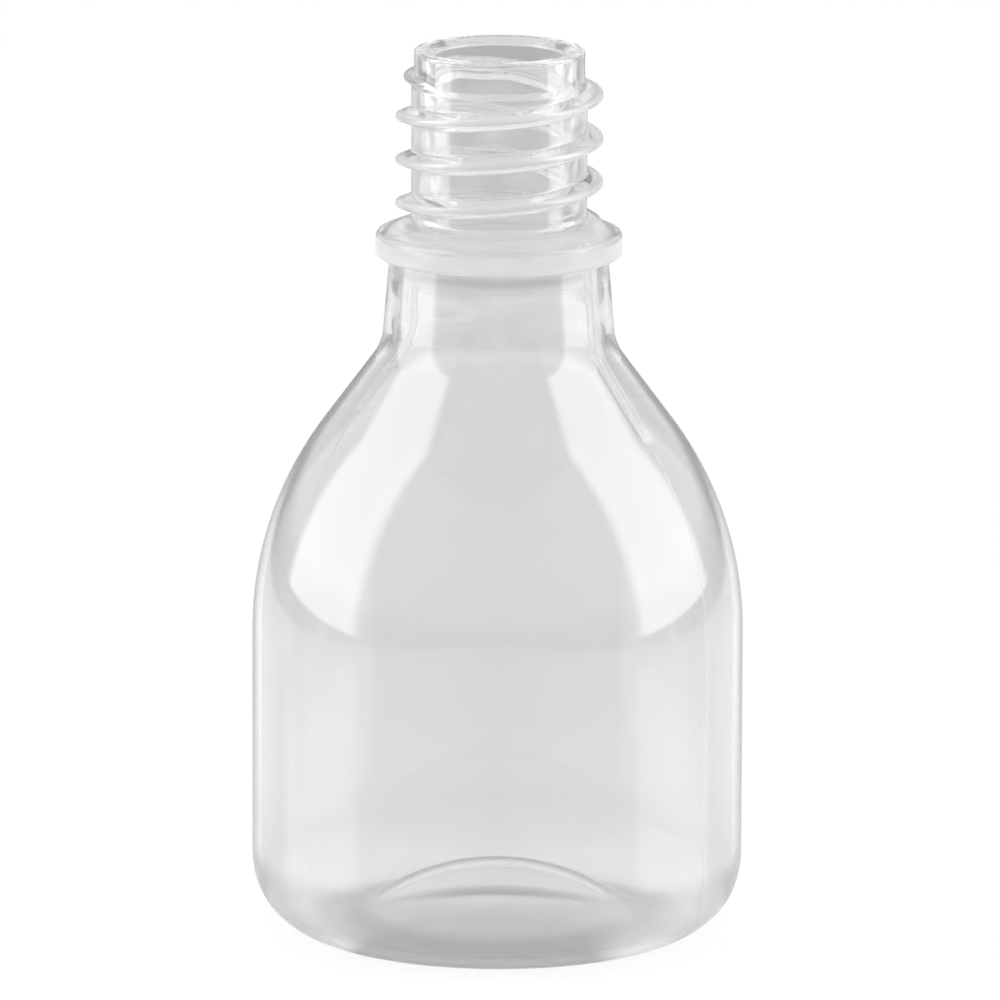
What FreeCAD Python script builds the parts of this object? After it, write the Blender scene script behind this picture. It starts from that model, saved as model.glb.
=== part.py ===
import FreeCAD, Part
import math
import os

from FreeCAD import Vector

# Narrow neck lab bottle, moulded in one piece from clear plastic, shown without its cap.
# Millimetres. +Z runs up the axis, and the origin is the centre of the base on the table.
# Angles are in degrees. A draft or a cone angle is counted from the vertical.

# Body
overall_height = 121.3
body_diameter = 66.5
body_wall = 1.2

# Base: a ring to stand on, a dome pushed up inside it, and a soft corner made of two arcs
corner_upper_radius = 12.3
corner_upper_turn = 21.7
corner_lower_radius = 10.2
standing_ring_width = 1.6
dome_height = 8.0
dome_edge_radius = 3.5

# Shoulder: one long round stretch into a cone, then a sweep up into the neck
shoulder_start_height = 41.65
shoulder_radius = 47.9
cone_angle = 36.7
sweep_radius = 6.9

# Lower neck, between the shoulder and the flange
lower_neck_top_diameter = 29.5
lower_neck_draft = 4.9
lower_neck_wall = 1.4

# Flange, with a sloping top
flange_diameter = 33.3
flange_underside_height = 93.2
flange_edge_height = 3.15
flange_slope = 68.0
flange_lower_edge_radius = 0.7
flange_upper_edge_radius = 0.9
flange_root_radius = 1.3
flange_underside_root_radius = 0.4

# Upper neck and mouth
upper_neck_diameter = 23.7
mouth_diameter = 23.0
mouth_band_height = 4.2
mouth_step_length = 0.7
mouth_step_radius = 0.6
mouth_edge_radius = 0.35
lip_opening_diameter = 19.9
lip_edge_radius = 0.2
lip_bevel_depth = 0.8

# Bore: straight down through the upper neck, then flaring out behind the flange
bore_diameter = 17.5
bore_edge_radius = 0.5
bore_end_height = 96.6
bore_flare_angle = 50.0
bore_flare_upper_radius = 2.0
bore_flare_lower_radius = 4.0

# Thread: one start, right-handed, with a round crest. Its lower end runs into the flange's
# slope. Its upper end turns level on a tighter arc and so dives into the neck.
# Angles are counted round the axis from +X, and the crest's height is the one at angle 0.
thread_diameter = 28.0
thread_pitch = 5.94
thread_crest_radius = 0.55
thread_flank_angle = 22.0
thread_crest_height = 97.38
thread_first_angle = -75.0
thread_last_angle = 1205.0
thread_root_depth = 0.4
run_out_radius = 11.5
run_out_turn = 100.0

# Seam ribs: the two raised strips left by the mould halves, from the flange down the shoulder
rib_direction = -32.0
rib_width = 1.9
rib_height = 0.3
rib_root_depth = 0.5
rib_end_height = 69.5
rib_tip_length = 3.0

body_radius = body_diameter / 2
upper_neck_radius = upper_neck_diameter / 2


def meet(point_a, angle_a, point_b, angle_b):
    """Point where two lines of the outline cross. A line's angle is its lean inwards from the vertical."""
    ax, az = -math.sin(math.radians(angle_a)), math.cos(math.radians(angle_a))
    bx, bz = -math.sin(math.radians(angle_b)), math.cos(math.radians(angle_b))
    gap_r, gap_z = point_b[0] - point_a[0], point_b[1] - point_a[1]
    along = (gap_r * bz - gap_z * bx) / (ax * bz - az * bx)
    return point_a[0] + along * ax, point_a[1] + along * az


def rounded_edges(corners):
    """Lines and arcs through (r, z, radius) corners, sharp where the radius is 0."""
    points = [Vector(r, 0, z) for r, z, _ in corners]
    edges = []
    reached = points[0]
    for before, here, after, corner in zip(points, points[1:], points[2:], corners[1:-1]):
        arriving = (here - before).normalize()
        leaving = (after - here).normalize()
        turn = arriving.getAngle(leaving)
        radius = corner[2]
        start = here - arriving * radius * math.tan(turn / 2)
        end = here + leaving * radius * math.tan(turn / 2)
        if reached.distanceToPoint(start) > 1e-6:
            edges.append(Part.LineSegment(reached, start).toShape())
        if radius:
            to_centre = (leaving - arriving).normalize()
            middle = here + to_centre * radius * (1 / math.cos(turn / 2) - 1)
            edges.append(Part.Arc(start, middle, end).toShape())
        reached = end
    edges.append(Part.LineSegment(reached, points[-1]).toShape())
    return edges


def body_corners(inset):
    """Corners from the standing ring up to the cone, for the outside, or for a face inset from it."""
    upper_radius = corner_upper_radius - inset
    lower_radius = corner_lower_radius - inset
    upper_turn = math.radians(corner_upper_turn)
    lower_turn = math.pi / 2 - upper_turn
    slant = upper_radius * math.tan(upper_turn / 2) + lower_radius * math.tan(lower_turn / 2)
    side = body_radius - inset
    half_cone = math.tan(math.radians(cone_angle) / 2)
    return [
        (side - slant * math.sin(upper_turn), inset, lower_radius),
        (side, inset + slant * math.cos(upper_turn), upper_radius),
        (side, shoulder_start_height + (shoulder_radius - inset) * half_cone, shoulder_radius - inset),
    ]


def ring_inner_radius():
    """Where the flat of the standing ring ends and the push-up begins."""
    ring_start = body_corners(0)[0]
    lower_turn = math.radians(90 - corner_upper_turn)
    ring_outer = ring_start[0] - corner_lower_radius * math.tan(lower_turn / 2)
    return ring_outer - standing_ring_width


def dome_edges(inset):
    """Arc from the axis down the dome, then the arc that rounds it into the standing ring."""
    edge_r = ring_inner_radius()
    dome_radius = (edge_r**2 + dome_height**2 - 2 * dome_height * dome_edge_radius) / (2 * dome_height)
    dome_centre = Vector(0, 0, dome_height - dome_radius)
    edge_centre = Vector(edge_r, 0, dome_edge_radius)
    outward = (edge_centre - dome_centre).normalize()
    lean = outward.getAngle(Vector(0, 0, 1))
    dome_inset = dome_radius + inset
    edge_inset = dome_edge_radius - inset
    join = dome_centre + outward * dome_inset
    half_lean = Vector(math.sin(lean / 2), 0, math.cos(lean / 2))
    dome = Part.Arc(
        dome_centre + Vector(0, 0, dome_inset), dome_centre + half_lean * dome_inset, join
    )
    edge = Part.Arc(
        join, edge_centre - half_lean * edge_inset, edge_centre - Vector(0, 0, edge_inset)
    )
    return [dome.toShape(), edge.toShape()]


def neck_line_point(inset):
    """A point of the lower neck's drafted side at the height of the flange's underside."""
    shift = inset / math.cos(math.radians(lower_neck_draft))
    return lower_neck_top_diameter / 2 - shift, flange_underside_height


def outer_corners():
    """Corners of the outside, from the standing ring up to the mouth's outer edge."""
    body = body_corners(0)
    neck_top = neck_line_point(0)
    sweep = meet(body[-1], cone_angle, neck_top, lower_neck_draft)
    flange_edge = (flange_diameter / 2, flange_underside_height + flange_edge_height)
    flange_root = meet((upper_neck_radius, 0), 0, flange_edge, flange_slope)
    mouth_radius = mouth_diameter / 2
    band_bottom = overall_height - mouth_band_height
    return [
        (ring_inner_radius(), 0, 0),
        *body,
        (*sweep, sweep_radius),
        (*neck_top, flange_underside_root_radius),
        (flange_edge[0], flange_underside_height, flange_lower_edge_radius),
        (*flange_edge, flange_upper_edge_radius),
        (*flange_root, flange_root_radius),
        (upper_neck_radius, band_bottom - mouth_step_length, mouth_step_radius),
        (mouth_radius, band_bottom, mouth_step_radius),
        (mouth_radius, overall_height, mouth_edge_radius),
    ]


def inner_corners():
    """Corners of the inside, from the lip down the bore to the valley round the dome."""
    bore_radius = bore_diameter / 2
    body = body_corners(body_wall)
    neck_top = neck_line_point(lower_neck_wall)
    sweep = meet(body[-1], cone_angle, neck_top, lower_neck_draft)
    flare = meet((bore_radius, bore_end_height), bore_flare_angle, neck_top, lower_neck_draft)
    return [
        (lip_opening_diameter / 2, overall_height, lip_edge_radius),
        (bore_radius, overall_height - lip_bevel_depth, bore_edge_radius),
        (bore_radius, bore_end_height, bore_flare_upper_radius),
        (*flare, bore_flare_lower_radius),
        (*sweep, sweep_radius + body_wall),
        *reversed(body),
        (ring_inner_radius(), body_wall, 0),
    ]


def bottle_body():
    """The round bottle without thread and ribs: one closed section turned about the axis."""
    wall = dome_edges(0) + rounded_edges(outer_corners() + inner_corners())
    inner_base = dome_edges(body_wall)
    axis_edge = Part.LineSegment(Vector(0, 0, dome_height), Vector(0, 0, dome_height + body_wall))
    section = Part.Wire(Part.__sortEdges__(wall + inner_base + [axis_edge.toShape()]))
    turned = Part.Face(section).revolve(Vector(0, 0, 0), Vector(0, 0, 1), 360)
    return Part.makeSolid(turned) if turned.ShapeType == "Shell" else turned


def thread_section():
    """The thread's cross-section at angle 0, from a little way inside the neck to the crest."""
    flank = math.radians(thread_flank_angle)
    root = upper_neck_radius - thread_root_depth
    crest = thread_diameter / 2
    touch = crest - thread_crest_radius * (1 - math.sin(flank))
    touch_rise = thread_crest_radius * math.cos(flank)
    root_rise = touch_rise + (touch - root) * math.tan(flank)
    lower_root = Vector(root, 0, thread_crest_height - root_rise)
    upper_root = Vector(root, 0, thread_crest_height + root_rise)
    lower_touch = Vector(touch, 0, thread_crest_height - touch_rise)
    upper_touch = Vector(touch, 0, thread_crest_height + touch_rise)
    return Part.Wire([
        Part.LineSegment(lower_root, lower_touch).toShape(),
        Part.Arc(lower_touch, Vector(crest, 0, thread_crest_height), upper_touch).toShape(),
        Part.LineSegment(upper_touch, upper_root).toShape(),
        Part.LineSegment(upper_root, lower_root).toShape(),
    ])


def along_thread(shape, angle):
    """A copy of what lies at angle 0 of the thread, moved along the helix to another angle."""
    moved = shape.copy()
    moved.rotate(Vector(0, 0, 0), Vector(0, 0, 1), angle)
    moved.translate(Vector(0, 0, thread_pitch * angle / 360))
    return moved


def thread():
    """The coarse thread: its section swept up the helix, then round the arc of its run-out."""
    turns = (thread_last_angle - thread_first_angle) / 360
    helix = Part.makeLongHelix(thread_pitch, thread_pitch * turns, thread_diameter / 2)
    helix.translate(Vector(0, 0, thread_crest_height))
    sweep = Part.BRepOffsetAPI.MakePipeShell(Part.Wire(along_thread(helix, thread_first_angle).Edges))
    sweep.setFrenetMode(True)
    sweep.add(along_thread(thread_section(), thread_first_angle), False, False)
    sweep.build()
    sweep.makeSolid()
    centre = Vector(thread_diameter / 2 - run_out_radius, 0, 0)
    run_out = Part.Face(thread_section()).revolve(centre, Vector(0, 0, 1), run_out_turn)
    return [sweep.shape(), along_thread(run_out, thread_last_angle)]


def rib_corners(inset, end_height):
    """Corners of one long side of a rib: from its lower end, past the sweep, up into the flange."""
    cone_start = body_corners(inset)[-1]
    neck_top = neck_line_point(inset)
    end = meet(cone_start, cone_angle, (0, end_height), 90)
    sweep = meet(cone_start, cone_angle, neck_top, lower_neck_draft)
    top = meet(neck_top, lower_neck_draft, (0, neck_top[1] + rib_root_depth), 90)
    return [(*end, 0), (*sweep, sweep_radius + inset), (*top, 0)]


def seam_ribs():
    """The strips on both sides where the mould halves met. The lower end tapers to the wall."""
    proud_side = rib_corners(-rib_height, rib_end_height + rib_tip_length)
    sunk_side = rib_corners(rib_root_depth, rib_end_height)
    tip = rib_corners(0, rib_end_height)[0]
    edges = rounded_edges([tip, *proud_side, *reversed(sunk_side), tip])
    face = Part.Face(Part.Wire(edges))
    face.translate(Vector(0, -rib_width / 2, 0))
    strip = face.extrude(Vector(0, rib_width, 0))
    ribs = []
    for direction in (rib_direction, rib_direction + 180):
        rib = strip.copy()
        rib.rotate(Vector(0, 0, 0), Vector(0, 0, 1), direction)
        ribs.append(rib)
    return ribs


def main():
    bottle = bottle_body().fuse(thread() + seam_ribs())
    os.makedirs("parts", exist_ok=True)
    bottle.Solids[0].exportStep("parts/bottle.step")


main()
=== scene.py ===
import math

import bpy
import numpy as np
from mathutils import Matrix, Quaternion, Vector


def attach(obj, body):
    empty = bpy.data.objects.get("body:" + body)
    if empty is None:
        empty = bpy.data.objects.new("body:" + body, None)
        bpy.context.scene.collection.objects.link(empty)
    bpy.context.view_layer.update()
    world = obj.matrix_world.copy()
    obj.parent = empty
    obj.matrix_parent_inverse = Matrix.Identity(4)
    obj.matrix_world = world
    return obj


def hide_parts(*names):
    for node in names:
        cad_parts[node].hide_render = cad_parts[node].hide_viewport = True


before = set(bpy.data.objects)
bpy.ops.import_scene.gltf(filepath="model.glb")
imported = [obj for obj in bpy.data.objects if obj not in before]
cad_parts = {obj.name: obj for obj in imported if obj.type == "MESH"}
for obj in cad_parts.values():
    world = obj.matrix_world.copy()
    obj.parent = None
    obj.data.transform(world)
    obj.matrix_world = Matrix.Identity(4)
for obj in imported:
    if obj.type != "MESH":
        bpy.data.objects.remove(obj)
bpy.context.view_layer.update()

MM = 0.001
WHITE = (1.0, 1.0, 1.0, 1.0)
LINE, ARC = 0.0, 1.0

# The bottle's sizes, in millimetres and degrees, as in the part's source
OVERALL_HEIGHT = 121.3
BODY_RADIUS = 33.25
BODY_WALL = 1.2
CORNER_UPPER_RADIUS = 12.3
CORNER_UPPER_TURN = 21.7
CORNER_LOWER_RADIUS = 10.2
STANDING_RING_WIDTH = 1.6
DOME_HEIGHT = 8.0
DOME_EDGE_RADIUS = 3.5
SHOULDER_START_HEIGHT = 41.65
SHOULDER_RADIUS = 47.9
CONE_ANGLE = 36.7
SWEEP_RADIUS = 6.9
LOWER_NECK_TOP_RADIUS = 14.75
LOWER_NECK_DRAFT = 4.9
LOWER_NECK_WALL = 1.4
FLANGE_RADIUS = 16.65
FLANGE_UNDERSIDE_HEIGHT = 93.2
FLANGE_EDGE_HEIGHT = 3.15
FLANGE_SLOPE = 68.0
FLANGE_LOWER_EDGE_RADIUS = 0.7
FLANGE_UPPER_EDGE_RADIUS = 0.9
FLANGE_ROOT_RADIUS = 1.3
FLANGE_UNDERSIDE_ROOT_RADIUS = 0.4
UPPER_NECK_RADIUS = 11.85
MOUTH_RADIUS = 11.5
MOUTH_BAND_HEIGHT = 4.2
MOUTH_STEP_LENGTH = 0.7
MOUTH_STEP_RADIUS = 0.6
MOUTH_EDGE_RADIUS = 0.35
LIP_OPENING_RADIUS = 9.95
LIP_EDGE_RADIUS = 0.2
LIP_BEVEL_DEPTH = 0.8
BORE_RADIUS = 8.75
BORE_EDGE_RADIUS = 0.5
BORE_END_HEIGHT = 96.6
BORE_FLARE_ANGLE = 50.0
BORE_FLARE_UPPER_RADIUS = 2.0
BORE_FLARE_LOWER_RADIUS = 4.0
THREAD_RADIUS = 14.0
THREAD_PITCH = 5.94
THREAD_CREST_RADIUS = 0.55
THREAD_FLANK_ANGLE = 22.0
THREAD_CREST_HEIGHT = 97.38
THREAD_FIRST_ANGLE = -75.0
THREAD_LAST_ANGLE = 1205.0
RUN_OUT_RADIUS = 11.5
RUN_OUT_TURN = 100.0
RIB_DIRECTION = -32.0
RIB_WIDTH = 1.9
RIB_HEIGHT = 0.3
RIB_END_HEIGHT = 69.5
RIB_TIP_LENGTH = 3.0

# How the surface is made from those sizes, in millimetres. The SHARE, GROWTH and RISE of a rib's
# tip are parts of its width and length: how wide it starts, how it widens, and where it is full.
HAIR = 0.01
SLOPE_STEP = 0.002
NORMAL_STEP = 0.004
NORMAL_LEAST_RADIUS = 3.0
THREAD_LOWEST_HEIGHT = 94.0
THREAD_ROOT_BLEND = 0.5
NO_THREAD_RADIUS = 5.0
RIB_ON_NECK_HEIGHT = 89.0
RIB_LEAST_SLOPE = 0.3
RIB_TIP_SHARE = 0.25
RIB_TIP_GROWTH = 0.9
RIB_TIP_RISE = 0.8
RIB_FLANK_INSIDE = 0.40
RIB_FLANK_OUTSIDE = 0.14

# Fine relief that only the look needs, in millimetres: the parting line down the side and up the
# neck, and a faint waviness of the bore. A wave is (count round it, rise per radian, phase).
SEAM_LINE_WIDTH = 0.30
SEAM_LINE_HEIGHT = 0.012
SEAM_LINE_CREST = 0.02
SEAM_LINE_RADII = (24.0, 25.5)
SEAM_LINE_NECK_HEIGHT = 98.0
SEAM_LINE_TOP_GAP = 0.4
WAVE_HEIGHT = 0.018
WAVES = ((3, 0.9, 0.0), (5, -1.3, 2.0), (8, 2.1, 4.0))
WAVES_START = (80.0, 90.0)
WAVES_END = (120.3, 118.5)

# Spacing of the mesh's rows along the outline, in millimetres, or in degrees of an arc's turn
WIDE_ARC_RADIUS = 5.0
WIDE_ARC_STEP = 9.0
NARROW_ARC_STEP = 12.0
ARC_SPACING = 1.3
ARC_LEAST_ROWS = 3
OUTER_LINE_SPACING = 1.6
INNER_LINE_SPACING = 2.4
THREAD_ROWS = (97.0, 119.5)
THREAD_ROWS_RADIUS = 13.5
THREAD_SPACING = 0.155
FLANGE_TOP_ROWS = (95.9, 98.6)
FLANGE_TOP_SPACING = 0.25
BORE_ROWS = (84.0, 120.0)
BORE_SPACING = 1.0

# Columns of the mesh: millimetres to either side of a seam, and even steps from there to the next
SEAM_COLUMNS = (0.04, 0.08, 0.12, 0.17, 0.26, 0.40, 0.58, 0.72, 0.82, 0.86, 0.90, 0.94, 0.98,
                1.03, 1.12, 1.3)
STEPS_BETWEEN_SEAMS = 78

# The photograph's camera, in metres, degrees and millimetres of lens
CAMERA_DISTANCE = 1.845
CAMERA_HEIGHT = 0.4482
CAMERA_SIDE = 0.00026
CAMERA_PITCH = 11.90
CAMERA_ROLL = 0.207
CAMERA_LENS = 501.6
SENSOR_WIDTH = 36.0
CAMERA_CLIP = (0.1, 50.0)

# The plastic: its tint and gloss, and how milky it is in each place, from 0 to 1
PLASTIC_TINT = (0.96, 0.965, 0.965)
PLASTIC_IOR = 1.48
HAZE_COLOUR = (0.95, 0.95, 0.95)
BODY_ROUGHNESS = 0.03
BASE_ROUGHNESS = 0.18
RING_ROUGHNESS = 0.5
BODY_HAZE = 0.02
NECK_HAZE = 0.14
MOUTH_HAZE = 0.04
THREAD_HAZE = 0.18
THREAD_START_SHARE = 0.15
FLARE_HAZE = 0.60
FLANGE_HAZE = 0.50
FLANGE_TOP_SHARE = 0.2
# Near-white milk along the rib edges: a painted highlight
RIB_EDGE_PAINTED_HIGHLIGHT = 0.95
RIB_FACE_HAZE = 0.35
RIB_TIP_HAZE = 0.8
SEAM_LINE_HAZE = 0.28
RING_HAZE = 0.65
BASE_FOOT_SHARE = 0.15

# Where those levels fade in or out, in millimetres: heights, radii, and distances from a seam
NECK_HAZE_HEIGHTS = (91.5, 94.5)
MOUTH_HAZE_HEIGHTS = (116.0, 118.0)
THREAD_HAZE_RADII = (12.2, 13.8)
THREAD_HAZE_START = (96.2, 97.2)
FLANGE_HAZE_RADII = (16.0, 16.5)
FLANGE_HAZE_END = (95.6, 96.2)
FLANGE_HAZE_START = (92.6, 93.4)
FLARE_HAZE_RADII = (13.8, 14.3)
FLARE_HAZE_START = (89.0, 91.6)
FLARE_HAZE_END = (95.5, 96.5)
RIB_EDGE_INSET = 0.12
RIB_EDGE_DISTANCES = (0.18, 0.34)
RIB_FACE_DISTANCES = (0.75, 0.90)
RIB_TIP_HEIGHTS = (RIB_END_HEIGHT + 2.0, RIB_END_HEIGHT + 3.5)
RIB_HAZE_START = (RIB_END_HEIGHT, RIB_END_HEIGHT + 1)
RIB_HAZE_END = (93.4, 93.6)
SEAM_LINE_DISTANCES = (0.04, 0.18)
SEAM_LINE_SIDE = (-1.0, 1.0)
RING_HEIGHTS = (1.0, 2.2)
RING_RADII = (25.0, 26.2)
BASE_TOP_HEIGHTS = (9.5, 13.5)
BASE_FOOT_HEIGHTS = (2.2, 4.5)
BASE_RADII = (23.5, 26.0)
FOOT_HEIGHTS = (1.5, 3.0)
FOOT_RADII = (22.0, 23.5)

# The table, in metres: its grey by Y (the camera's side is negative), painted light at the
# bottle's sides and painted shade at the far ends, and painted caustic light under the bottle's
# own sides.
# These greys are painted studio light and shade, seen only through and in the bottle
TABLE_SIZE = 6.0
TABLE_DROP = 0.0001
TABLE_ROUGHNESS = 0.12
TABLE_PAINTED_LEVELS = (
    (-0.50, 0.60), (-0.25, 0.60), (-0.06, 0.66), (-0.035, 0.56), (-0.01, 0.57), (0.008, 0.60),
    (0.018, 0.80), (0.028, 0.80), (0.045, 0.66), (0.06, 0.60), (0.15, 0.56), (0.26, 0.58),
    (0.34, 0.62), (0.42, 0.62), (0.455, 0.72), (0.48, 0.70), (0.505, 0.58), (0.53, 0.45),
    (0.65, 0.28),
)
TABLE_SIDES = (0.025, 0.070)
TABLE_SIDE_SPREAD = 0.28
TABLE_SIDE_PAINTED_LIGHT = 0.92
TABLE_ENDS = (0.40, 0.46)
TABLE_END_PAINTED_SHADE = 0.30
# Painted caustic light: brighter patches of table under the bottle's left and right sides, seen
# through its base
PAINTED_CAUSTIC_BACK = (0.004, 0.016)
PAINTED_CAUSTIC_FRONT = (-0.060, -0.035)
PAINTED_CAUSTIC_LEFT = (-0.0215, -0.0155)
PAINTED_CAUSTIC_LEFT_LEVEL = 0.95
PAINTED_CAUSTIC_RIGHT = (0.006, 0.020)
PAINTED_CAUSTIC_RIGHT_LEVEL = 1.0

# How much of the table's light is its plain colour, a glow which no lamp or shadow changes: for
# the camera, and for rays bent or mirrored by the bottle, away from it and under it. Under the
# bottle
# the glow is almost all of it: painted light where the bottle's own shade would fall
PLAIN_SHARE_CAMERA = 0.93
PLAIN_SHARE_THROUGH = 0.38
GLOW_SHARE_UNDER_BOTTLE = 0.95
TABLE_GLOW_UNDER_RADII = (0.022, 0.036)

# The studio: grey by the upward part of a direction
ROOM_LEVELS = ((0.0, 0.42), (0.05, 0.50), (0.13, 0.90), (0.6, 1.05), (0.9, 0.85))

# The softboxes, in metres and degrees, and their light for each kind of ray
BOX_AZIMUTH = 88
BOX_DISTANCE = 0.34
BOX_SPACING = 0.002
BOX_WIDTH = 0.36
BOX_HEIGHT = 0.72
BOX_BOTTOM = 0.032
BOX_LEAN = 4.0
BOX_DEPTH = (-0.15, 0.16)
BOX_FAR_SHARE = 0.75
BOX_SIDE_FADE = 0.16
BOX_END_FADE = 0.012
BOX_LEVELS = (("diffuse", 2.6), ("glossy", 4.4), ("transmission", 0.65))


def meet(point_a, angle_a, point_b, angle_b):
    """Point where two lines of the outline cross. An angle is a line's lean inwards."""
    ax, az = -math.sin(math.radians(angle_a)), math.cos(math.radians(angle_a))
    bx, bz = -math.sin(math.radians(angle_b)), math.cos(math.radians(angle_b))
    gap_r, gap_z = point_b[0] - point_a[0], point_b[1] - point_a[1]
    along = (gap_r * bz - gap_z * bx) / (ax * bz - az * bx)
    return point_a[0] + along * ax, point_a[1] + along * az


def body_corners(inset):
    """Corners from the standing ring up to the cone, for the outside or a face inset from it."""
    upper_radius = CORNER_UPPER_RADIUS - inset
    lower_radius = CORNER_LOWER_RADIUS - inset
    upper_turn = math.radians(CORNER_UPPER_TURN)
    lower_turn = math.pi / 2 - upper_turn
    slant = upper_radius * math.tan(upper_turn / 2) + lower_radius * math.tan(lower_turn / 2)
    side = BODY_RADIUS - inset
    shoulder_radius = SHOULDER_RADIUS - inset
    cone_height = SHOULDER_START_HEIGHT + shoulder_radius * math.tan(math.radians(CONE_ANGLE) / 2)
    return [
        (side - slant * math.sin(upper_turn), inset, lower_radius),
        (side, inset + slant * math.cos(upper_turn), upper_radius),
        (side, cone_height, shoulder_radius),
    ]


def ring_inner_radius():
    """Where the flat of the standing ring ends and the push-up begins."""
    ring_start = body_corners(0)[0]
    lower_turn = math.radians(90 - CORNER_UPPER_TURN)
    corner_reach = CORNER_LOWER_RADIUS * math.tan(lower_turn / 2)
    return ring_start[0] - corner_reach - STANDING_RING_WIDTH


def neck_line_point(inset):
    """A point of the lower neck's drafted side, at the height of the flange's underside."""
    inwards = inset / math.cos(math.radians(LOWER_NECK_DRAFT))
    return LOWER_NECK_TOP_RADIUS - inwards, FLANGE_UNDERSIDE_HEIGHT


def outer_corners():
    """Corners of the outside as (r, z, radius), from the standing ring up to the mouth's edge."""
    body = body_corners(0)
    neck_top = neck_line_point(0)
    sweep = meet(body[-1], CONE_ANGLE, neck_top, LOWER_NECK_DRAFT)
    flange_edge = (FLANGE_RADIUS, FLANGE_UNDERSIDE_HEIGHT + FLANGE_EDGE_HEIGHT)
    flange_root = meet((UPPER_NECK_RADIUS, 0), 0, flange_edge, FLANGE_SLOPE)
    band_bottom = OVERALL_HEIGHT - MOUTH_BAND_HEIGHT
    return [
        *body,
        (*sweep, SWEEP_RADIUS),
        (*neck_top, FLANGE_UNDERSIDE_ROOT_RADIUS),
        (FLANGE_RADIUS, FLANGE_UNDERSIDE_HEIGHT, FLANGE_LOWER_EDGE_RADIUS),
        (*flange_edge, FLANGE_UPPER_EDGE_RADIUS),
        (*flange_root, FLANGE_ROOT_RADIUS),
        (UPPER_NECK_RADIUS, band_bottom - MOUTH_STEP_LENGTH, MOUTH_STEP_RADIUS),
        (MOUTH_RADIUS, band_bottom, MOUTH_STEP_RADIUS),
        (MOUTH_RADIUS, OVERALL_HEIGHT, MOUTH_EDGE_RADIUS),
    ]


def inner_corners():
    """Corners of the inside as (r, z, radius), from the lip down to the valley round the dome."""
    body = body_corners(BODY_WALL)
    neck_top = neck_line_point(LOWER_NECK_WALL)
    sweep = meet(body[-1], CONE_ANGLE, neck_top, LOWER_NECK_DRAFT)
    flare = meet((BORE_RADIUS, BORE_END_HEIGHT), BORE_FLARE_ANGLE, neck_top, LOWER_NECK_DRAFT)
    return [
        (LIP_OPENING_RADIUS, OVERALL_HEIGHT, LIP_EDGE_RADIUS),
        (BORE_RADIUS, OVERALL_HEIGHT - LIP_BEVEL_DEPTH, BORE_EDGE_RADIUS),
        (BORE_RADIUS, BORE_END_HEIGHT, BORE_FLARE_UPPER_RADIUS),
        (*flare, BORE_FLARE_LOWER_RADIUS),
        (*sweep, SWEEP_RADIUS + BODY_WALL),
        *reversed(body),
    ]


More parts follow.
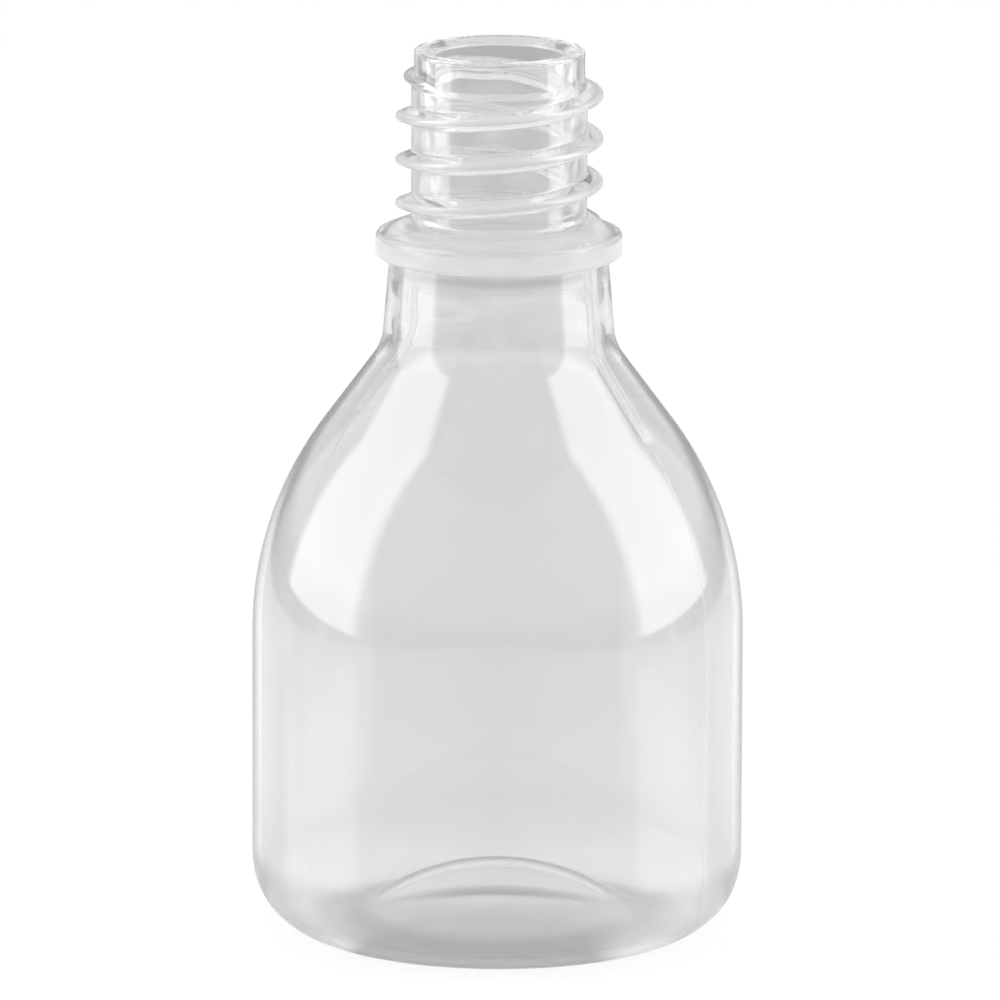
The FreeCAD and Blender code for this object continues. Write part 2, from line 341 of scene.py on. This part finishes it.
class Outline:
    """The section's outline, from the dome's middle below, round the lip, to its middle inside.

    Each row is one line or arc: where it starts along the outline, LINE or ARC, its first point
    or centre, and its radius, first angle, turn and length.
    """

    def __init__(self):
        self.rows = []
        self.length = 0.0
        for part in self.dome(0):
            self.arc(*part)
        ring_outside = (ring_inner_radius(), 0.0, 0.0)
        ring_inside = (ring_inner_radius(), BODY_WALL, 0.0)
        self.rounded([ring_outside, *outer_corners(), *inner_corners(), ring_inside])
        for centre, radius, first, turn in reversed(self.dome(BODY_WALL)):
            self.arc(centre, radius, first + turn, -turn)
        self.starts = np.array([row[0] for row in self.rows])
        self.table = np.array([row[1:] for row in self.rows])
        self.lip = self.lip_start()

    @staticmethod
    def dome(inset):
        """Centre, radius, first angle and turn of the dome's arc and of the one at its edge."""
        edge_r = ring_inner_radius()
        rise = edge_r**2 + DOME_HEIGHT**2 - 2 * DOME_HEIGHT * DOME_EDGE_RADIUS
        dome_radius = rise / (2 * DOME_HEIGHT)
        lean = math.atan2(edge_r, DOME_EDGE_RADIUS - DOME_HEIGHT + dome_radius)
        up = math.pi / 2
        return [
            ((0.0, DOME_HEIGHT - dome_radius), dome_radius + inset, up, -lean),
            ((edge_r, DOME_EDGE_RADIUS), DOME_EDGE_RADIUS - inset, -up - lean, lean),
        ]

    def arc(self, centre, radius, first, turn):
        """Adds an arc."""
        length = abs(turn) * radius
        self.rows.append((self.length, ARC, *centre, radius, first, turn, length))
        self.length += length

    def line(self, a, b):
        """Adds a straight line, unless it has no length."""
        length = math.hypot(b[0] - a[0], b[1] - a[1])
        if length > 1e-6:
            heading = math.atan2(b[1] - a[1], b[0] - a[0])
            self.rows.append((self.length, LINE, *a, 0.0, heading, 0.0, length))
            self.length += length

    def rounded(self, corners):
        """Adds the lines and arcs that go through (r, z, radius) corners."""
        reached = corners[0][:2]
        for before, here, after in zip(corners, corners[1:], corners[2:]):
            arriving = math.atan2(here[1] - before[1], here[0] - before[0])
            leaving = math.atan2(after[1] - here[1], after[0] - here[0])
            turn = (leaving - arriving + math.pi) % (2 * math.pi) - math.pi
            radius = here[2]
            reach = radius * abs(math.tan(turn / 2))
            start = here[0] - reach * math.cos(arriving), here[1] - reach * math.sin(arriving)
            end = here[0] + reach * math.cos(leaving), here[1] + reach * math.sin(leaving)
            self.line(reached, start)
            side = math.copysign(math.pi / 2, turn)
            centre_r = start[0] + radius * math.cos(arriving + side)
            centre_z = start[1] + radius * math.sin(arriving + side)
            self.arc((centre_r, centre_z), radius, arriving - side, turn)
            reached = end
        self.line(reached, corners[-1][:2])

    def at(self, s):
        """Radius and height of the outline at lengths s along it."""
        s = np.clip(s, 0.0, self.length)
        index = np.searchsorted(self.starts, s, side="right") - 1
        index = np.clip(index, 0, len(self.rows) - 1)
        kind, r0, z0, radius, first, turn, length = np.moveaxis(self.table[index], -1, 0)
        share = (s - self.starts[index]) / length
        angle = first + turn * share
        is_arc = kind == ARC
        r = np.where(is_arc, r0 + radius * np.cos(angle), r0 + np.cos(first) * length * share)
        z = np.where(is_arc, z0 + radius * np.sin(angle), z0 + np.sin(first) * length * share)
        return r, z

    def lip_start(self):
        """Length along the outline at which the outside has reached the lip's height."""
        for start, *_, length in self.rows:
            _, z = self.at(np.array([start + length]))
            if z[0] > OVERALL_HEIGHT - HAIR:
                return start + length
        return self.length

    def stations(self):
        """Lengths at which the mesh has its rows: closer in the arcs and across the thread."""
        stations = []
        for start, kind, _, _, radius, _, turn, length in self.rows:
            r, z = (value[0] for value in self.at(np.array([start + length / 2])))
            outside = start < self.lip
            if kind == ARC:
                step = WIDE_ARC_STEP if radius > WIDE_ARC_RADIUS else NARROW_ARC_STEP
                by_turn = math.ceil(abs(turn) / math.radians(step))
                count = max(ARC_LEAST_ROWS, by_turn, math.ceil(length / ARC_SPACING))
            else:
                spacing = OUTER_LINE_SPACING if outside else INNER_LINE_SPACING
                count = math.ceil(length / spacing)
            in_thread = THREAD_ROWS[0] < z < THREAD_ROWS[1] and r < THREAD_ROWS_RADIUS
            if outside and in_thread:
                count = max(count, math.ceil(length / THREAD_SPACING))
            elif outside and FLANGE_TOP_ROWS[0] < z < FLANGE_TOP_ROWS[1]:
                count = max(count, math.ceil(length / FLANGE_TOP_SPACING))
            elif not outside and BORE_ROWS[0] < z < BORE_ROWS[1]:
                count = max(count, math.ceil(length / BORE_SPACING))
            stations.extend(start + length * np.arange(count) / count)
        return np.array(stations)


def smooth_step(low, high, value):
    """0 below low, 1 above high and smooth between. With high below low, it falls instead."""
    t = np.clip((value - low) / (high - low), 0.0, 1.0)
    return t * t * (3 - 2 * t)


def blended_max(a, b, reach):
    """The larger of a and b, with a fillet where they cross."""
    h = np.maximum(reach - np.abs(a - b), 0.0) / reach
    return np.maximum(a, b) + h * h * reach * 0.25


def thread_section(rise):
    """Radius of the thread's surface at a height above or below the middle of its crest."""
    flank = math.radians(THREAD_FLANK_ANGLE)
    touch = THREAD_RADIUS - THREAD_CREST_RADIUS * (1 - math.sin(flank))
    touch_rise = THREAD_CREST_RADIUS * math.cos(flank)
    rise = np.abs(rise)
    crest = THREAD_RADIUS - THREAD_CREST_RADIUS
    crest = crest + np.sqrt(np.maximum(THREAD_CREST_RADIUS**2 - rise**2, 0.0))
    return np.where(rise < touch_rise, crest, touch - (rise - touch_rise) / math.tan(flank))


def thread_radius(z, angle):
    """Radius of the thread at heights and angles, and far inside the neck where there is none."""
    highest = np.full(np.broadcast(z, angle).shape, NO_THREAD_RADIUS)
    offset = THREAD_RADIUS - RUN_OUT_RADIUS
    level = thread_section(z - THREAD_CREST_HEIGHT - THREAD_PITCH * THREAD_LAST_ANGLE / 360.0)
    first_turn = math.floor(THREAD_FIRST_ANGLE / 360)
    last_turn = math.ceil((THREAD_LAST_ANGLE + RUN_OUT_TURN) / 360)
    for turn in range(first_turn, last_turn):
        along = angle + 360.0 * turn
        helix = thread_section(z - THREAD_CREST_HEIGHT - THREAD_PITCH * along / 360.0)
        on_helix = (along >= THREAD_FIRST_ANGLE) & (along <= THREAD_LAST_ANGLE)
        highest = np.where(on_helix, np.maximum(highest, helix), highest)
        past = along - THREAD_LAST_ANGLE
        past_rad = np.radians(past)
        reach = np.maximum(level - offset, 0.0) ** 2 - (offset * np.sin(past_rad)) ** 2
        dive = offset * np.cos(past_rad) + np.sqrt(np.maximum(reach, 0.0))
        on_run_out = (past > 0) & (past < RUN_OUT_TURN)
        highest = np.where(on_run_out, np.maximum(highest, dive), highest)
    return highest


def rib_rise(r, z, out_r, across):
    """How far a seam rib stands out of the surface, at distances across from its middle."""
    draft = math.tan(math.radians(LOWER_NECK_DRAFT))
    neck_line = LOWER_NECK_TOP_RADIUS + (FLANGE_UNDERSIDE_HEIGHT - z) * draft
    on_shoulder = r + RIB_HEIGHT / np.maximum(out_r, RIB_LEAST_SLOPE)
    face = np.where(z > RIB_ON_NECK_HEIGHT, neck_line + RIB_HEIGHT, on_shoulder)
    tip = np.clip((z - RIB_END_HEIGHT) / RIB_TIP_LENGTH, 0.0, 1.0)
    half = RIB_WIDTH / 2 * np.clip(RIB_TIP_SHARE + RIB_TIP_GROWTH * tip, 0.0, 1.0)
    rib = 1 - smooth_step(half - RIB_FLANK_INSIDE, half + RIB_FLANK_OUTSIDE, across)
    rib = rib * smooth_step(0.0, RIB_TIP_RISE, tip)
    on_rib = (z > RIB_END_HEIGHT) & (z < FLANGE_UNDERSIDE_HEIGHT + HAIR)
    return np.where(on_rib, rib * np.maximum(face - r, 0.0), 0.0)


def seam_line_rise(r, z, across):
    """How far the parting line stands out of the surface, on the body and on the upper neck."""
    line = SEAM_LINE_HEIGHT * (1 - smooth_step(SEAM_LINE_CREST, SEAM_LINE_WIDTH / 2, across))
    on_neck = (z > SEAM_LINE_NECK_HEIGHT) & (z < OVERALL_HEIGHT - SEAM_LINE_TOP_GAP)
    return line * smooth_step(*SEAM_LINE_RADII, r) + line * on_neck


def surface(outline, s, angle):
    """Points of the bottle's surface, at lengths s along the outline and angles in degrees."""
    r, z = outline.at(s)
    outside = s < outline.lip
    r_after, z_after = outline.at(s + SLOPE_STEP)
    r_before, z_before = outline.at(s - SLOPE_STEP)
    lean = np.hypot(r_after - r_before, z_after - z_before)
    out_r, out_z = (z_after - z_before) / lean, -(r_after - r_before) / lean
    from_seam = (angle - RIB_DIRECTION + 90.0) % 180.0 - 90.0
    across = np.abs(from_seam) * math.pi / 180.0 * np.maximum(r, UPPER_NECK_RADIUS)
    threaded = blended_max(r, thread_radius(z, angle), THREAD_ROOT_BLEND)
    radius = np.where(outside & (z > THREAD_LOWEST_HEIGHT), threaded, r)
    radius = radius + np.where(outside, rib_rise(r, z, out_r, across), 0.0)
    line = np.where(outside, seam_line_rise(r, z, across), 0.0)
    radius = radius + line * out_r
    height = z + line * out_z
    a = np.radians(angle)
    wave = sum(np.sin(count * a + z / length + phase) for count, length, phase in WAVES)
    in_bore = ~outside * smooth_step(*WAVES_START, z) * smooth_step(*WAVES_END, z)
    radius = radius + WAVE_HEIGHT * wave * in_bore
    return np.stack([radius * np.cos(a), radius * np.sin(a), height], axis=-1)


def column_angles(r):
    """Angles of the mesh's columns for outline radii r: close together near both seams."""
    half = np.array(SEAM_COLUMNS)
    near = np.concatenate([-half[::-1], [0.0], half])
    scale = 180.0 / math.pi / np.clip(r, UPPER_NECK_RADIUS, BODY_RADIUS)
    near = near[None, :] * scale[:, None]
    share = (np.arange(1, STEPS_BETWEEN_SEAMS) / STEPS_BETWEEN_SEAMS)[None, :]
    start, end = near[:, -1:], 180.0 + near[:, :1]
    between = start + (end - start) * share
    half_turn = np.concatenate([near, between], axis=1)
    return RIB_DIRECTION + np.concatenate([half_turn, half_turn + 180.0], axis=1)


def bottle_mesh():
    """The bottle as one closed mesh, with the exact normals of its surface."""
    outline = Outline()
    s = outline.stations()[1:]
    r, _ = outline.at(s)
    angles = column_angles(r)
    rows, columns = angles.shape
    s = np.broadcast_to(s[:, None], angles.shape)
    points = surface(outline, s, angles)
    along = surface(outline, s + NORMAL_STEP, angles) - surface(outline, s - NORMAL_STEP, angles)
    turn = NORMAL_STEP * 180.0 / math.pi / np.maximum(r, NORMAL_LEAST_RADIUS)[:, None]
    around = surface(outline, s, angles + turn) - surface(outline, s, angles - turn)
    normals = np.cross(around, along)
    normals /= np.linalg.norm(normals, axis=-1, keepdims=True)
    middles = [[0, 0, DOME_HEIGHT], [0, 0, DOME_HEIGHT + BODY_WALL]]
    vertices = np.vstack([points.reshape(-1, 3), middles]) * MM
    all_normals = np.vstack([normals.reshape(-1, 3), [[0, 0, -1]], [[0, 0, 1]]])

    index = np.arange(rows * columns).reshape(rows, columns)
    ahead = np.roll(index, -1, axis=1)
    quads = np.stack([index[:-1], ahead[:-1], ahead[1:], index[1:]], axis=-1).reshape(-1, 4)
    below, inside = rows * columns, rows * columns + 1
    fan_below = [[below, ahead[0, i], index[0, i]] for i in range(columns)]
    fan_inside = [[inside, index[-1, i], ahead[-1, i]] for i in range(columns)]
    mesh = bpy.data.meshes.new("clear_bottle")
    mesh.from_pydata(vertices.tolist(), [], quads.tolist() + fan_below + fan_inside)
    mesh.update()
    mesh.polygons.foreach_set("use_smooth", np.ones(len(mesh.polygons), dtype=bool))
    mesh.normals_split_custom_set_from_vertices(all_normals.tolist())
    return mesh


def grey(level):
    """An opaque grey."""
    return (level, level, level, 1.0)


def node(tree, kind, **settings):
    """A new node of a tree, with its properties and sockets set by name."""
    made = tree.nodes.new(kind)
    for name, value in settings.items():
        if name in made.bl_rna.properties:
            setattr(made, name, value)
        else:
            made.inputs[name].default_value = value
    return made


def join(tree, value, socket):
    """Gives a socket a number or colour, or links another node's socket to it."""
    if isinstance(value, bpy.types.NodeSocket):
        tree.links.new(value, socket)
    else:
        socket.default_value = value


def math_node(tree, operation, *values):
    """A math node whose inputs are sockets or numbers."""
    made = node(tree, "ShaderNodeMath", operation=operation)
    for socket, value in zip(made.inputs, values):
        join(tree, value, socket)
    return made.outputs[0]


def product(tree, first, *others):
    """The product of two or more sockets or numbers."""
    for other in others:
        first = math_node(tree, "MULTIPLY", first, other)
    return first


def fade(tree, value, ends, to_min, to_max):
    """A smooth step of a socket's value, from to_min at the first end to to_max at the second."""
    made = node(tree, "ShaderNodeMapRange", interpolation_type="SMOOTHSTEP")
    tree.links.new(value, made.inputs["Value"])
    for name, number in zip(("From Min", "From Max", "To Min", "To Max"), (*ends, to_min, to_max)):
        made.inputs[name].default_value = number
    return made.outputs["Result"]


def fade_mm(tree, value, ends, to_min, to_max):
    """The same, with its ends in millimetres."""
    return fade(tree, value, (ends[0] * MM, ends[1] * MM), to_min, to_max)


def ramp(tree, value, lowest, highest, levels):
    """A grey that follows a socket's value through (value, level) pairs."""
    share = node(tree, "ShaderNodeMapRange")
    tree.links.new(value, share.inputs["Value"])
    share.inputs["From Min"].default_value = lowest
    share.inputs["From Max"].default_value = highest
    made = node(tree, "ShaderNodeValToRGB")
    tree.links.new(share.outputs["Result"], made.inputs["Fac"])
    stops = made.color_ramp.elements
    while len(stops) < len(levels):
        stops.new(0.5)
    for index, (at, level) in enumerate(levels):
        stops[index].position = (at - lowest) / (highest - lowest)
        stops[index].color = grey(level)
    return made.outputs["Color"]


def mix_colours(tree, share, first, second):
    """The first colour where the share is 0, and the second where it is 1."""
    made = node(tree, "ShaderNodeMix", data_type="RGBA")
    for name, value in (("Factor", share), ("A", first), ("B", second)):
        join(tree, value, made.inputs[name])
    return made.outputs["Result"]


def mix_shaders(tree, share, first, second):
    """The first node's shader where the share is 0, and the second's where it is 1."""
    made = node(tree, "ShaderNodeMixShader")
    join(tree, share, made.inputs["Fac"])
    tree.links.new(first.outputs[0], made.inputs[1])
    tree.links.new(second.outputs[0], made.inputs[2])
    return made


def position(tree):
    """Sockets for a point's X, Y and Z on the object, and its distance from the object's axis."""
    place = node(tree, "ShaderNodeTexCoord")
    parts = node(tree, "ShaderNodeSeparateXYZ")
    tree.links.new(place.outputs["Object"], parts.inputs[0])
    x, y, z = (parts.outputs[axis] for axis in "XYZ")
    squares = math_node(tree, "ADD", product(tree, x, x), product(tree, y, y))
    return x, y, z, math_node(tree, "SQRT", squares)


def new_material(name):
    """A material, its tree and its output node, with nothing else in the tree."""
    material = bpy.data.materials.new(name)
    material.use_nodes = True
    tree = material.node_tree
    tree.nodes.clear()
    return material, tree, node(tree, "ShaderNodeOutputMaterial")


def neck_haze(tree, height, radius):
    """The milk in the neck, its thread and its flange, where the plastic is thick."""
    neck = fade_mm(tree, height, NECK_HAZE_HEIGHTS, BODY_HAZE, NECK_HAZE)
    mouth = fade_mm(tree, height, MOUTH_HAZE_HEIGHTS, 0.0, NECK_HAZE - MOUTH_HAZE)
    neck = math_node(tree, "SUBTRACT", neck, mouth)
    thread = fade_mm(tree, radius, THREAD_HAZE_RADII, 0.0, THREAD_HAZE)
    start = fade_mm(tree, height, THREAD_HAZE_START, THREAD_START_SHARE, 1.0)
    flange = fade_mm(tree, radius, FLANGE_HAZE_RADII, 0.0, FLANGE_HAZE)
    top = fade_mm(tree, height, FLANGE_HAZE_END, 1.0, FLANGE_TOP_SHARE)
    proud = math_node(tree, "ADD", product(tree, thread, start), product(tree, flange, top))
    underside = fade_mm(tree, height, FLANGE_HAZE_START, 0.0, 1.0)
    haze = math_node(tree, "ADD", neck, product(tree, proud, underside))
    flare = fade_mm(tree, radius, FLARE_HAZE_RADII, FLARE_HAZE, 0.0)
    flare_start = fade_mm(tree, height, FLARE_HAZE_START, 0.0, 1.0)
    flare_end = fade_mm(tree, height, FLARE_HAZE_END, 1.0, 0.0)
    return math_node(tree, "MAXIMUM", haze, product(tree, flare, flare_start, flare_end))


def seam_milk_and_painted_highlight(tree, x, y, height, radius):
    """The milk in both seam ribs, with painted highlights as near-white milk along their edges, in
    the parting line on one side, and in the standing ring.
    """
    seam = math.radians(RIB_DIRECTION)
    across_x = product(tree, x, -math.sin(seam))
    across_y = product(tree, y, math.cos(seam))
    across = math_node(tree, "ABSOLUTE", math_node(tree, "ADD", across_x, across_y))
    # Near-white lines along both edges of each rib: painted highlights
    edge_line = (RIB_WIDTH / 2 - RIB_EDGE_INSET) * MM
    edge = math_node(tree, "ABSOLUTE", math_node(tree, "SUBTRACT", across, edge_line))
    edge = fade_mm(tree, edge, RIB_EDGE_DISTANCES, RIB_EDGE_PAINTED_HIGHLIGHT, 0.0)
    tip = fade_mm(tree, height, RIB_TIP_HEIGHTS, RIB_TIP_HAZE, RIB_FACE_HAZE)
    face = product(tree, fade_mm(tree, across, RIB_FACE_DISTANCES, 1.0, 0.0), tip)
    above = fade_mm(tree, height, RIB_HAZE_START, 0.0, 1.0)
    below = fade_mm(tree, height, RIB_HAZE_END, 1.0, 0.0)
    rib = math_node(tree, "MAXIMUM", edge, face)
    rib = product(tree, rib, product(tree, above, below))

    ahead_x = product(tree, x, math.cos(seam))
    ahead_y = product(tree, y, math.sin(seam))
    ahead = math_node(tree, "ADD", ahead_x, ahead_y)
    one_side = fade_mm(tree, ahead, SEAM_LINE_SIDE, 0.0, 1.0)
    line = fade_mm(tree, across, SEAM_LINE_DISTANCES, SEAM_LINE_HAZE, 0.0)
    line = product(tree, one_side, line)
    ring = fade_mm(tree, height, RING_HEIGHTS, RING_HAZE, 0.0)
    ring = product(tree, ring, fade_mm(tree, radius, RING_RADII, 1.0, 0.0))
    return math_node(tree, "MAXIMUM", rib, math_node(tree, "MAXIMUM", line, ring))


def plastic_roughness(tree, height, radius):
    """Glossy, but rougher in the base's corner and on the ring that it stands on."""
    low = fade_mm(tree, height, BASE_TOP_HEIGHTS, 1.0, 0.0)
    low = product(tree, low, fade_mm(tree, height, BASE_FOOT_HEIGHTS, BASE_FOOT_SHARE, 1.0))
    outer = fade_mm(tree, radius, BASE_RADII, 0.0, BASE_ROUGHNESS - BODY_ROUGHNESS)
    roughness = math_node(tree, "ADD", product(tree, low, outer), BODY_ROUGHNESS)
    foot = fade_mm(tree, height, FOOT_HEIGHTS, RING_ROUGHNESS, 0.0)
    foot = product(tree, foot, fade_mm(tree, radius, FOOT_RADII, 1.0, 0.0))
    return math_node(tree, "ADD", roughness, foot)


def clear_plastic():
    """Clear, colourless, glossy plastic, with a little milk where it is thick, and painted
    highlights as milk on the rib edges.
    """
    material, tree, out = new_material("clear_plastic_look")
    x, y, height, radius = position(tree)
    clear = node(tree, "ShaderNodeBsdfPrincipled", IOR=PLASTIC_IOR)
    clear.inputs["Base Color"].default_value = (*PLASTIC_TINT, 1.0)
    clear.inputs["Transmission Weight"].default_value = 1.0
    tree.links.new(plastic_roughness(tree, height, radius), clear.inputs["Roughness"])
    front = node(tree, "ShaderNodeBsdfDiffuse", Color=(*HAZE_COLOUR, 1.0))
    through = node(tree, "ShaderNodeBsdfTranslucent", Color=(*HAZE_COLOUR, 1.0))
    milk = mix_shaders(tree, 0.5, front, through)
    neck = neck_haze(tree, height, radius)
    seam = seam_milk_and_painted_highlight(tree, x, y, height, radius)
    plastic = mix_shaders(tree, math_node(tree, "MAXIMUM", neck, seam), clear, milk)
    tree.links.new(plastic.outputs[0], out.inputs["Surface"])
    return material


def painted_table_light_and_shade(tree, x, y):
    """The table's greys, as the bottle bends and mirrors them: painted studio light and shade, and
    painted caustics.
    """
    # Painted studio light and shade by Y, seen only through and in the bottle
    behind = ramp(tree, y, -1.0, 1.0, TABLE_PAINTED_LEVELS)
    # Painted light at the bottle's sides, where the softboxes stand
    from_middle = math_node(tree, "ABSOLUTE", x)
    spread = product(tree, y, TABLE_SIDE_SPREAD)
    aside = fade(tree, math_node(tree, "SUBTRACT", from_middle, spread), TABLE_SIDES, 0.0, 1.0)
    colour = mix_colours(tree, aside, behind, grey(TABLE_SIDE_PAINTED_LIGHT))
    # Painted shade at the table's far ends
    beyond = fade(tree, from_middle, TABLE_ENDS, 0.0, 1.0)
    colour = mix_colours(tree, beyond, colour, grey(TABLE_END_PAINTED_SHADE))
    # Painted caustic light: brighter patches under the bottle's left and right sides
    back = fade(tree, y, PAINTED_CAUSTIC_BACK, 1.0, 0.0)
    front = fade(tree, y, PAINTED_CAUSTIC_FRONT, 0.0, 1.0)
    left = fade(tree, x, PAINTED_CAUSTIC_LEFT, PAINTED_CAUSTIC_LEFT_LEVEL, 0.0)
    right = fade(tree, x, PAINTED_CAUSTIC_RIGHT, 0.0, PAINTED_CAUSTIC_RIGHT_LEVEL)
    sides = math_node(tree, "MAXIMUM", left, right)
    painted_caustic = product(tree, product(tree, back, front), sides)
    return math_node(tree, "MAXIMUM", colour, painted_caustic)


def floor_material():
    """A pale, slightly glossy table, white to the camera, with the bottle's soft shadow kept; its
    greys, seen only through and in the bottle, are painted light and shade.
    """
    material, tree, out = new_material("pale_table")
    x, y, _, radius = position(tree)
    colour = painted_table_light_and_shade(tree, x, y)
    paths = node(tree, "ShaderNodeLightPath").outputs
    seen = mix_colours(tree, paths["Is Camera Ray"], colour, WHITE)
    matt = node(tree, "ShaderNodeBsdfDiffuse")
    glossy = node(tree, "ShaderNodeBsdfPrincipled", Roughness=TABLE_ROUGHNESS)
    plain = node(tree, "ShaderNodeEmission")
    tree.links.new(seen, matt.inputs["Color"])
    tree.links.new(colour, glossy.inputs["Base Color"])
    tree.links.new(seen, plain.inputs["Color"])
    lit = mix_shaders(tree, paths["Is Glossy Ray"], matt, glossy)
    camera_share = product(tree, paths["Is Camera Ray"], PLAIN_SHARE_CAMERA)
    bent_or_mirrored = math_node(
        tree, "MAXIMUM", paths["Is Transmission Ray"], paths["Is Glossy Ray"])
    # Under the bottle the table glows almost wholly: painted light in place of the bottle's shade
    through = fade(tree, radius, TABLE_GLOW_UNDER_RADII, GLOW_SHARE_UNDER_BOTTLE, PLAIN_SHARE_THROUGH)
    through = product(tree, bent_or_mirrored, through)
    share = math_node(tree, "MAXIMUM", camera_share, through)
    tree.links.new(mix_shaders(tree, share, lit, plain).outputs[0], out.inputs["Surface"])
    return material


def studio_world():
    """White all round for the camera, and a grey studio for what the bottle mirrors and bends."""
    world = bpy.data.worlds.new("studio")
    bpy.context.scene.world = world
    world.use_nodes = True
    tree = world.node_tree
    tree.nodes.clear()
    out = node(tree, "ShaderNodeOutputWorld")
    direction = node(tree, "ShaderNodeTexCoord")
    parts = node(tree, "ShaderNodeSeparateXYZ")
    tree.links.new(direction.outputs["Generated"], parts.inputs[0])
    room = node(tree, "ShaderNodeBackground", Strength=1.0)
    tree.links.new(ramp(tree, parts.outputs["Z"], 0.0, 1.0, ROOM_LEVELS), room.inputs["Color"])
    white = node(tree, "ShaderNodeBackground", Color=WHITE, Strength=1.0)
    camera_ray = node(tree, "ShaderNodeLightPath").outputs["Is Camera Ray"]
    studio = mix_shaders(tree, camera_ray, room, white)
    tree.links.new(studio.outputs[0], out.inputs["Surface"])


def softbox_glow(light):
    """Fades a softbox's light at its edges, and dims it towards the back of the studio."""
    light.use_nodes = True
    tree = light.node_tree
    tree.nodes.clear()
    out = node(tree, "ShaderNodeOutputLight")
    glow = node(tree, "ShaderNodeEmission", Color=WHITE)
    place = node(tree, "ShaderNodeNewGeometry")
    parts = node(tree, "ShaderNodeSeparateXYZ")
    tree.links.new(place.outputs["Parametric"], parts.inputs[0])
    fades = []
    for axis, soft in (("X", BOX_SIDE_FADE), ("Y", BOX_END_FADE)):
        from_middle = math_node(tree, "SUBTRACT", parts.outputs[axis], 0.5)
        from_middle = math_node(tree, "ABSOLUTE", from_middle)
        fades.append(fade(tree, from_middle, (0.5 - soft, 0.5), 1.0, 0.0))
    spot = node(tree, "ShaderNodeSeparateXYZ")
    tree.links.new(place.outputs["Position"], spot.inputs[0])
    fades.append(fade(tree, spot.outputs["Y"], BOX_DEPTH, 1.0, BOX_FAR_SHARE))
    tree.links.new(product(tree, *fades), glow.inputs["Strength"])
    tree.links.new(glow.outputs[0], out.inputs[0])


def softbox_lamp(name, azimuth, distance, radiance, rays):
    """An upright panel that faces the bottle and lights one kind of ray. Azimuth 0 is in front."""
    light = bpy.data.lights.new(name, "AREA")
    light.shape = "RECTANGLE"
    light.size = BOX_WIDTH
    light.size_y = BOX_HEIGHT
    light.energy = radiance * math.pi * BOX_WIDTH * BOX_HEIGHT
    softbox_glow(light)
    lamp = bpy.data.objects.new(name, light)
    bpy.context.collection.objects.link(lamp)
    a = math.radians(azimuth)
    middle = BOX_BOTTOM + BOX_HEIGHT / 2
    lamp.location = (math.sin(a) * distance, -math.cos(a) * distance, middle)
    lamp.rotation_mode = "QUATERNION"
    facing = Vector((-lamp.location.x, -lamp.location.y, 0)).to_track_quat("-Z", "Y")
    lean = math.radians(math.copysign(BOX_LEAN, azimuth))
    lamp.rotation_quaternion = facing @ Quaternion((0.0, 0.0, 1.0), lean)
    for kind, _ in BOX_LEVELS:
        setattr(lamp, f"visible_{kind}", kind == rays)


def softboxes():
    """Two softboxes, each of three lamps, because the far one must not wash out the bottle.

    A ray that meets lamps in one plane sees only the first of them, so they stand a little apart.
    """
    for name, side in (("softbox_left", -1), ("softbox_right", 1)):
        for order, (rays, level) in enumerate(BOX_LEVELS):
            distance = BOX_DISTANCE + BOX_SPACING * order
            softbox_lamp(f"{name}_{rays}", side * BOX_AZIMUTH, distance, level, rays)


def camera():
    """The photograph's viewpoint, as solved from the bottle's rims in it."""
    data = bpy.data.cameras.new("photo_camera")
    data.lens = CAMERA_LENS
    data.sensor_width = SENSOR_WIDTH
    data.clip_start, data.clip_end = CAMERA_CLIP
    cam = bpy.data.objects.new("photo_camera", data)
    bpy.context.collection.objects.link(cam)
    place = Matrix.Translation((CAMERA_SIDE, -CAMERA_DISTANCE, CAMERA_HEIGHT))
    tilt = Matrix.Rotation(math.radians(90 - CAMERA_PITCH), 4, "X")
    roll = Matrix.Rotation(math.radians(CAMERA_ROLL), 4, "Z")
    cam.matrix_world = place @ tilt @ roll
    bpy.context.scene.camera = cam


def table():
    """The table that the bottle stands on, a hair below its base."""
    mesh = bpy.data.meshes.new("table")
    signs = ((-1, -1), (1, -1), (1, 1), (-1, 1))
    corners = [(x * TABLE_SIZE, y * TABLE_SIZE, -TABLE_DROP) for x, y in signs]
    mesh.from_pydata(corners, [], [(0, 1, 2, 3)])
    mesh.materials.append(floor_material())
    floor = bpy.data.objects.new("table", mesh)
    bpy.context.collection.objects.link(floor)
    return floor


def main():
    camera()
    bottle = bpy.data.objects.new("clear_bottle", bottle_mesh())
    bpy.context.collection.objects.link(bottle)
    bottle.data.materials.append(clear_plastic())
    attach(bottle, "root")
    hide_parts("bottle")

    floor = table()
    studio_world()
    softboxes()
    bpy.context.scene.view_settings.view_transform = "Standard"


main()
